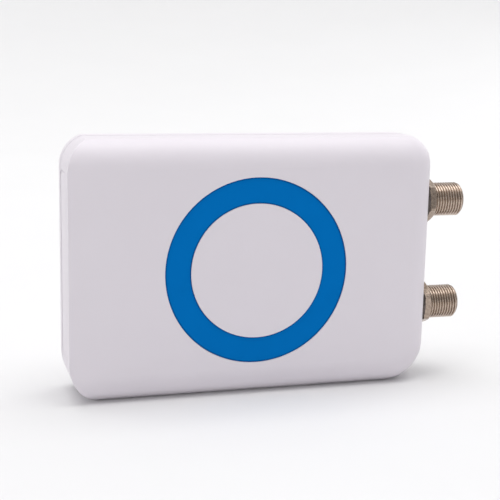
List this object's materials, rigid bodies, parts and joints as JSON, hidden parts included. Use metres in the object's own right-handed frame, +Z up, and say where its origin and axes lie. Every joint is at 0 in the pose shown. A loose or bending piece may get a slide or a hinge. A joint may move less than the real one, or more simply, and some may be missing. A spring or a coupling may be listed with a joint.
{
  "type": "rf modulator",
  "caption": "White RF modulator box with a blue ring on its front, standing on its long edge, with threaded coaxial sockets on its right end.",
  "frame": {"origin": "the middle of the long lower edge that the box stands on, under the middle of the casing", "axes": "+X to the right seen from the front, towards the connectors; +Y from the ring face to the rear; +Z up"},
  "size_m": [0.1118, 0.0215, 0.0688],
  "materials": {
    "white_plastic": "fine satin moulding",
    "blue_plastic": "satin blue",
    "black_plastic": "moulded black",
    "tinned_metal": "tinned sheet",
    "board": "green solder resist",
    "ferrite": "dark fired ferrite",
    "ceramic": "fired ceramic",
    "zinc_screw": "bright zinc",
    "foot_rubber": "dull rubber",
    "connector_nickel": "warm dull nickel",
    "washer_steel": "dark washer",
    "nut_metal": "warm nickel over brass",
    "insulator": "white insulating plastic",
    "contact_brass": "plated contact"
  },
  "bodies": {
    "casing": {"front_shell": "white_plastic", "rear_shell": "white_plastic", "blue_ring": "blue_plastic", "left_end_plate": "white_plastic", "right_end_panel": "white_plastic", "power_jack_housing": "black_plastic", "power_jack_pin": "tinned_metal", "power_jack_spring": "tinned_metal", "av_jack_housing": "black_plastic", "av_jack_contacts": "tinned_metal", "switch_frame": "tinned_metal", "switch_base": "black_plastic", "circuit_board": "board", "shield_frame": "tinned_metal", "shield_lid": "tinned_metal", "modulator_chip": "black_plastic", "coil_can": "tinned_metal", "coil_core": "ferrite", "crystal_can": "tinned_metal", "chokes": "ferrite", "splitter_core": "ferrite", "regulator": "black_plastic", "capacitors": "black_plastic", "diodes": "black_plastic", "chip_components": "ceramic", "case_screws": "zinc_screw", "rubber_feet": "foot_rubber", "upper_connector_body": "connector_nickel", "upper_connector_washer": "washer_steel", "upper_connector_nut": "nut_metal", "upper_connector_insulator": "insulator", "upper_connector_contact": "contact_brass", "lower_connector_body": "connector_nickel", "lower_connector_washer": "washer_steel", "lower_connector_nut": "nut_metal", "lower_connector_insulator": "insulator", "lower_connector_contact": "contact_brass"},
    "slider": {"channel_slider": "black_plastic"}
  },
  "joints": [
    {"name": "channel_switch_slide", "type": "slide", "parent": "casing", "child": "slider", "axis": [0, 0, 1], "range_m": [0, 0.0024]}
  ]
}
